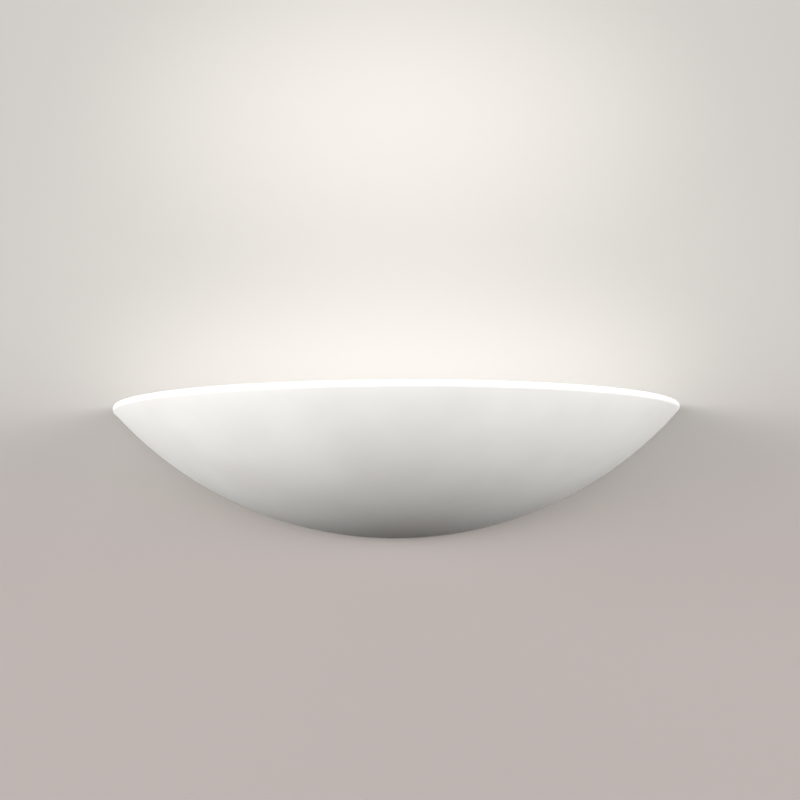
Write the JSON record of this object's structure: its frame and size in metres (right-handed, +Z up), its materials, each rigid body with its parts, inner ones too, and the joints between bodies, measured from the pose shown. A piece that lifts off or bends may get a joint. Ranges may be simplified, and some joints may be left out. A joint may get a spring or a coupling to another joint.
{
  "type": "uplighter wall sconce",
  "caption": "Half-dish white uplighter for a wall, hung on a hooked steel plate with a double-ended lamp, reflector, lampholders and terminal block inside.",
  "frame": {"origin": "midway between the two wall-screw slots, on the wall plane", "axes": "+X to the right along the wall, +Y into the wall, +Z up"},
  "size_m": [0.4204, 0.1897, 0.099],
  "materials": {
    "white_ceramic": "matt unglazed white, fine grain",
    "zinc_plated_steel": "satin zinc plating",
    "black_rubber": "matt black",
    "fastener_steel": "bright zinc",
    "bright_aluminium": "bright rolled sheet",
    "rivet_aluminium": "plain",
    "steatite": "unglazed cream steatite",
    "contact_brass": "turned brass",
    "earth_brass": "turned brass",
    "spring_steel": "drawn wire",
    "quartz_glass": "clear quartz",
    "tungsten": "dark drawn wire",
    "lamp_ceramic": "matt cream lamp cap",
    "contact_nickel": "nickel plated",
    "block_nylon": "natural nylon",
    "tinned_copper": "tinned copper",
    "earth_sleeve": "green and yellow silicone",
    "brown_sleeve": "brown silicone",
    "blue_sleeve": "blue silicone"
  },
  "bodies": {
    "wall_unit": {"wall_plate": "zinc_plated_steel", "cable_grommet": "black_rubber", "lamp_carrier": "zinc_plated_steel", "carrier_rivets": "fastener_steel", "reflector": "bright_aluminium", "reflector_rivets": "rivet_aluminium", "left_holder": "steatite", "right_holder": "steatite", "holder_screws": "fastener_steel", "holder_nuts": "fastener_steel", "left_contact": "contact_brass", "contact_sleeve": "contact_brass", "contact_spring": "spring_steel", "terminal_block": "block_nylon", "terminal_tubes": "contact_brass", "terminal_screws": "fastener_steel", "block_screws": "fastener_steel", "earth_screw": "earth_brass", "earth_washer": "fastener_steel", "earth_tag": "tinned_copper", "earth_lead": "earth_sleeve", "live_lead": "brown_sleeve", "neutral_lead": "blue_sleeve"},
    "bowl": {"bowl": "white_ceramic"},
    "lamp": {"lamp_tube": "quartz_glass", "lamp_filament": "tungsten", "lamp_foils": "tungsten", "lamp_caps": "lamp_ceramic", "lamp_buttons": "contact_nickel"},
    "plunger": {"contact_plunger": "contact_brass"}
  },
  "joints": [
    {"name": "bowl_lift", "type": "slide", "parent": "wall_unit", "child": "bowl", "axis": [0, 0, 1], "range_m": [0, 0.01]},
    {"name": "lamp_shift", "type": "slide", "parent": "wall_unit", "child": "lamp", "axis": [1, 0, 0], "range_m": [0, 0.0035], "stiffness_N_per_m": 1500, "springref_m": -0.004},
    {"name": "contact_travel", "type": "slide", "parent": "wall_unit", "child": "plunger", "axis": [1, 0, 0], "range_m": [0, 0.0035], "deforming": ["contact_spring"]}
  ],
  "couplings": [
    {"joint": "contact_travel", "follows": "lamp_shift", "ratio": 1}
  ]
}
